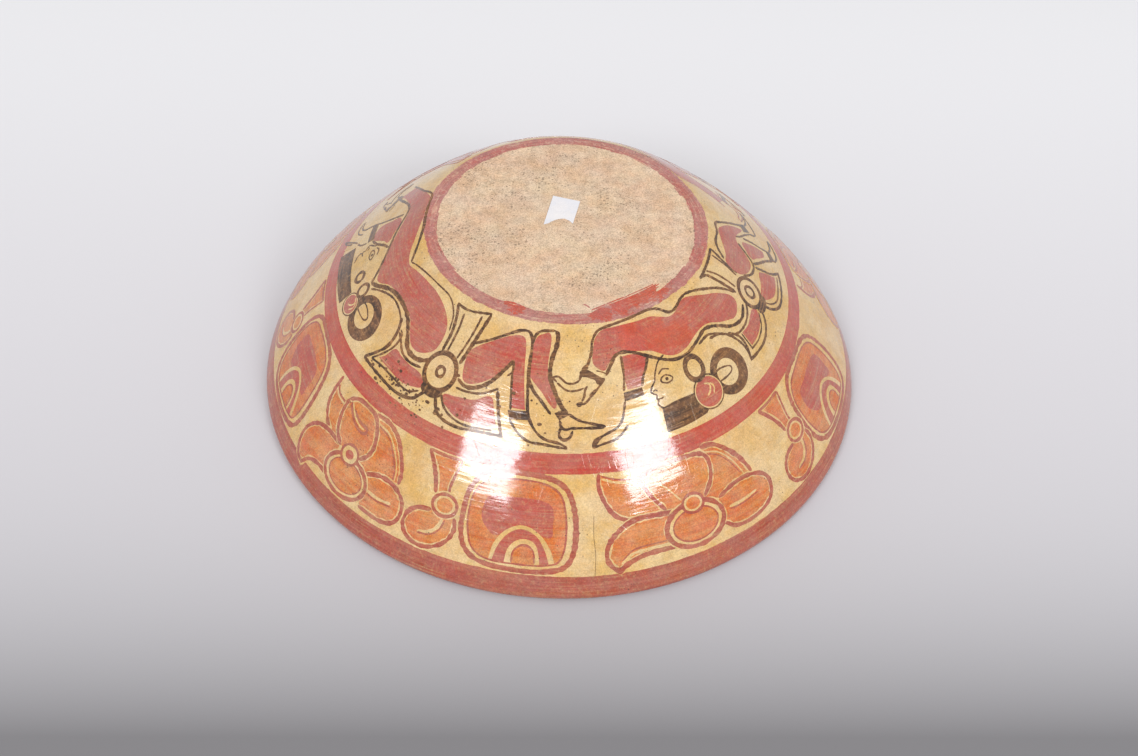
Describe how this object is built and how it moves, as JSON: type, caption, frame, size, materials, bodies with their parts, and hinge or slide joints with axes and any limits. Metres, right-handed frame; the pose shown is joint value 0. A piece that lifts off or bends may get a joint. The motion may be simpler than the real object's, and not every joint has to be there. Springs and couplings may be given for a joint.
{
  "type": "painted bowl",
  "caption": "Wide shallow bowl of fired clay, stored mouth down, with painted bands and figures round its wall and a bare flat base.",
  "frame": {"origin": "centre of the bowl's mouth, in the plane of the table that the lip rests on", "axes": "+Z along the bowl's axis from the mouth to the base, which is up because the bowl is stored mouth down; +Y away from the picture's viewer"},
  "size_m": [0.19, 0.19, 0.0555],
  "materials": {
    "bare_clay": "matte",
    "cream_slip": "burnished",
    "red_slip": "burnished",
    "orange_slip": "burnished",
    "dark_slip": "burnished",
    "paper": "matte"
  },
  "bodies": {
    "root": {"base_disc": "bare_clay", "foot_coil": "red_slip", "wall_coil_1": "cream_slip", "wall_coil_2": "cream_slip", "wall_coil_3": "cream_slip", "waist_coil": "red_slip", "wall_coil_4": "cream_slip", "wall_coil_5": "cream_slip", "wall_coil_6": "cream_slip", "rim_coil": "red_slip"}
  },
  "joints": []
}
